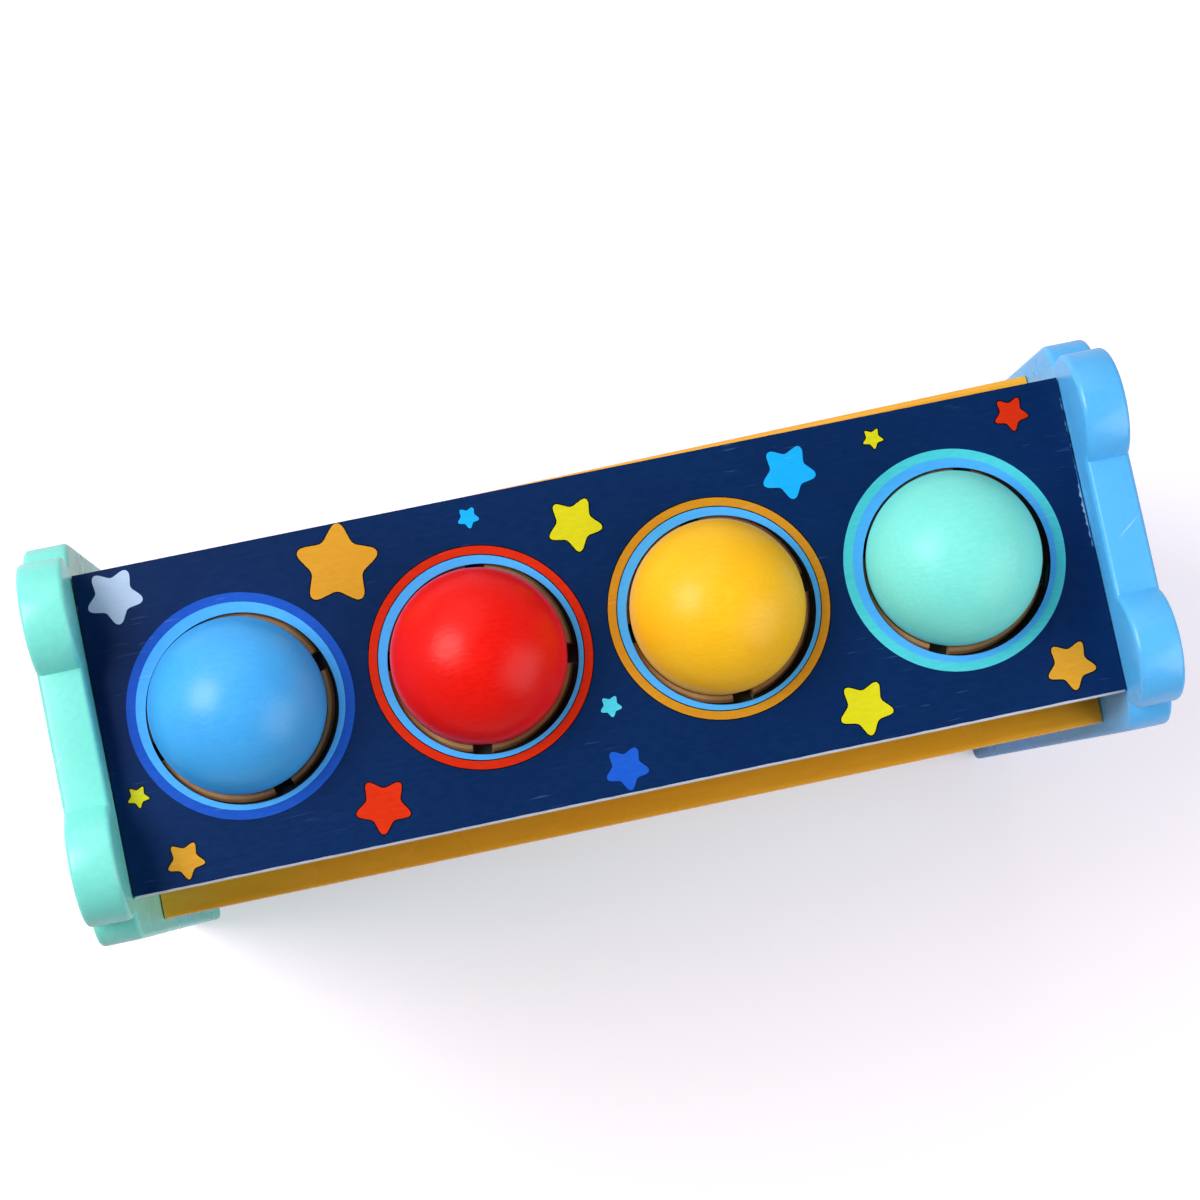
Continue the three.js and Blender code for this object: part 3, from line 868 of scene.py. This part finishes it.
def retainingRing(name):
    node = "retaining_ring_" + name
    size = inMetres(ringBuild)
    turn = ringBuild["turn"][name]
    low, high, middle = nodeBox(node)
    top = Vector((middle.x, middle.y, high.z))
    thickness = high.z - low.z
    ballLow, ballHigh, ballMiddle = nodeBox("ball_" + name)
    seatRadius = (ballHigh.z - ballLow.z) / 2 + size["fitGap"]
    boreAt = lambda height: math.sqrt(seatRadius ** 2 - (ballMiddle.z - height) ** 2)
    bore = boreAt(high.z)
    outer, lipEdge, drop = size["outer"], bore + size["lip"], size["drop"]
    standAlone()
    bpy.ops.mesh.primitive_circle_add(vertices=ringBuild["sides"], radius=bore, location=top,
                                      rotation=(0, 0, math.radians(turn)))
    ring = named(node + "_moulded")
    pick(ring, "VERT", everything)
    loops = [(lipEdge, 0), (lipEdge + size["fall"], -drop), (outer, 0), (outer, drop - thickness),
             (boreAt(low.z), 0), (boreAt(middle.z), thickness / 2), (bore, thickness / 2)]
    growLoop(bore, loops, top)
    tidyMesh(ring)
    slotSize = (2 * (bore + size["slotReach"]), size["slotWidth"], 2 * thickness)
    for quarterTurn in (0, 90):
        standAlone()
        bpy.ops.mesh.primitive_cube_add(size=1, location=top + Vector((0, 0, size["slotFloor"])),
                                        scale=slotSize, rotation=(0, 0, math.radians(turn + quarterTurn)))
        cutAway(ring, named("slot"))
    finishWith(ring, "BEVEL", width=size["edgeRound"], segments=ringBuild["edgeSteps"],
               limit_method="ANGLE", angle_limit=math.radians(ringBuild["sharp"]))
    tidyMesh(ring)
    onFlange = lambda centre: (centre.xy - top.xy).length > lipEdge + size["fall"] / 2
    onSlotFloor = lambda centre, normal: normal.z > partly and centre.z < low.z + 2 * size["slotFloor"]
    # painted shade: the flange in the gap round the ball and the floors of the slots take the near-black
    # rubber in place of the shade there
    paint(ring, 1, lambda centre, normal: onFlange(centre) or onSlotFloor(centre, normal))
    fit(ring, [tanRubber, paintedShadeRubber], nodes=[node])


for name in ballNames:
    retainingRing(name)
print("retaining rings moulded")


# Screws: countersunk, cross recess, modelled once and copied

screwBuild = {
    "headRadius": 3.8, "lip": 0.6, "shankRadius": 1.9, "length": 32, "point": 3, "tipRadius": 0.15,  # mm
    "recessWidth": 1.1, "recessLength": 4.6, "recessDepth": 1.9,
    "recessTaper": 0.45,  # share of the recess's width and length at its bottom
    "sides": 48, "edgeRound": 0.12, "edgeSteps": 2,
    "sharp": 50,  # degrees from which an edge is rounded
    "seed": 3,
}


def firstScrew():  # its head's face at the origin, its point down
    size = inMetres(screwBuild)
    head, shank, lip = size["headRadius"], size["shankRadius"], size["lip"]
    standAlone()
    bpy.ops.mesh.primitive_circle_add(vertices=screwBuild["sides"], radius=head, fill_type="NGON")
    screw = named("screw_pattern")
    pick(screw, "FACE", everything)
    neck = head - shank
    straight = size["length"] - size["point"] - lip - neck
    runs = [(head, -lip), (shank, -neck), (shank, -straight), (size["tipRadius"], -size["point"])]
    growLoop(head, runs, (0, 0, 0))
    tidyMesh(screw)
    recessSize = (size["recessLength"], size["recessWidth"], 2 * size["recessDepth"])
    taper = screwBuild["recessTaper"]
    for quarterTurn in (0, 90):
        standAlone()
        bpy.ops.mesh.primitive_cube_add(size=1, scale=recessSize,
                                        rotation=(0, 0, math.radians(quarterTurn)))
        slot = named("recess")
        pick(slot, "FACE", lambda centre, normal: normal.z < -squarely)
        bpy.ops.transform.resize(value=(taper, taper, 1), center_override=(0, 0, 0))
        cutAway(screw, slot)
    finishWith(screw, "BEVEL", width=size["edgeRound"], segments=screwBuild["edgeSteps"],
               limit_method="ANGLE", angle_limit=math.radians(screwBuild["sharp"]))
    tidyMesh(screw)
    return screw


def drivenScrew(pattern, node, end, turn):
    low, high, middle = nodeBox(node)
    standAlone(pattern)
    bpy.ops.object.duplicate(linked=False)
    aim = Matrix.Rotation(outwards[end] * math.pi / 2, 4, "Y") @ Matrix.Rotation(turn, 4, "Z")
    seat = Matrix.Translation((outerFace(end, low, high), middle.y, middle.z))
    bpy.context.active_object.matrix_world = seat @ aim
    fit(named(node + "_driven"), [screwSteel], nodes=[node], smooth=35)


pattern = firstScrew()
chance = random.Random(screwBuild["seed"])
for end in outwards:
    for node in screwNodes(end):
        drivenScrew(pattern, node, end, chance.uniform(0, math.pi))
bpy.data.objects.remove(pattern)
print("screws driven")


# Floor, light and camera

stageLook = {
    "floor": 8.0,  # m
    "paperPatch": 400,  # mm
    "paper": {"Color1": "#e8dce6", "Color2": "#eee3eb"},
    # the camera sees the floor glow a little round the toy, and white far off
    "glow": {"From Min": 0.5, "From Max": 2.0, "To Min": 0.36, "To Max": 1.0},
    "brightSide": (-0.35, 0.94, 0),
    "walls": {"From Min": -1, "To Min": 0.2, "To Max": 0.5},
    "ceiling": {"From Max": 0.9, "To Min": 1.0, "To Max": 0.12},  # dim overhead
}
lamps = {  # place, size and watts
    "leftSoftbox": ((-0.82, 0.36, 1.22), 0.75, 17.4),
    "rightSoftbox": ((0.47, -0.29, 0.55), 0.55, 2.6),
    "backPanel": ((-0.25, 1.20, 1.22), 1.4, 6.0),
}
cameraPlace = {
    "eye": (-0.04455, -0.0473, 0.9419), "lens": 84, "sensor": 36,
    "right": (0.97764, -0.20503, 0.04675), "ahead": (0.06403, 0.07845, -0.99486),
}


def paleFloor():
    standAlone()
    bpy.ops.mesh.primitive_plane_add(size=stageLook["floor"], location=(0, 0, 0))
    floor = named("pale_floor")
    material, tree, shader, place = newMaterial("pale studio paper", Roughness=0.9, Specular_IOR_Level=0.1)
    pulp = add(tree, "TexNoise", {"Vector": place, "Scale": perSize(stageLook["paperPatch"]), "Detail": 2})
    tone = add(tree, "MixRGB", {"Fac": pulp, **stageLook["paper"]})
    seen = add(tree, "LightPath").outputs["Is Camera Ray"]
    away = add(tree, "VectorMath", {0: place}, operation="LENGTH").outputs["Value"]
    glow = add(tree, "MapRange", {"Value": away, **stageLook["glow"]})
    lifted = add(tree, "Math", {0: seen, 1: glow}, operation="MULTIPLY")
    tree.links.new(tone.outputs[0], shader.inputs["Base Color"])
    shader.inputs["Emission Color"].default_value = (1, 1, 1, 1)
    tree.links.new(lifted.outputs[0], shader.inputs["Emission Strength"])
    floor.data.materials.append(material)


def studioWorld():
    world = bpy.data.worlds.new("studio")
    bpy.context.scene.world = world
    world.use_nodes = True
    tree = world.node_tree
    background = tree.nodes["Background"]
    seen = add(tree, "LightPath").outputs["Is Camera Ray"]
    heading = add(tree, "TexCoord").outputs["Generated"]
    upwards = add(tree, "SeparateXYZ", {0: heading}).outputs["Z"]
    sideways = add(tree, "VectorMath", {0: heading, 1: stageLook["brightSide"]}, operation="DOT_PRODUCT")
    walls = add(tree, "MapRange", {"Value": sideways.outputs["Value"], **stageLook["walls"]})
    ceiling = add(tree, "MapRange", {"Value": upwards, **stageLook["ceiling"]})
    room = add(tree, "Math", {0: walls, 1: ceiling}, operation="MULTIPLY")
    strength = add(tree, "Math", {0: room, 1: seen}, operation="MAXIMUM")
    tree.links.new(strength.outputs[0], background.inputs["Strength"])
    background.inputs["Color"].default_value = (1, 1, 1, 1)


def studioLamps():
    target = Vector((0, 0, deckHigh.z))
    for name, (place, size, watts) in lamps.items():
        aim = (Vector(place) - target).to_track_quat("Z", "Y").to_euler()
        standAlone()
        bpy.ops.object.light_add(type="AREA", location=place, rotation=aim)
        lamp = bpy.context.active_object
        lamp.name = name
        lamp.data.energy = watts
        lamp.data.size = size


def photoCamera():
    right, ahead = Vector(cameraPlace["right"]), Vector(cameraPlace["ahead"])
    up = right.cross(ahead)
    standAlone()
    bpy.ops.object.camera_add()
    camera = bpy.context.active_object
    turn = Matrix((right, up, -ahead)).transposed().to_4x4()
    camera.matrix_world = Matrix.Translation(cameraPlace["eye"]) @ turn
    camera.data.sensor_width = cameraPlace["sensor"]
    camera.data.lens = cameraPlace["lens"]
    bpy.context.scene.camera = camera


paleFloor()
studioWorld()
studioLamps()
photoCamera()
bpy.context.scene.view_settings.view_transform = "Standard"
print("stage set")
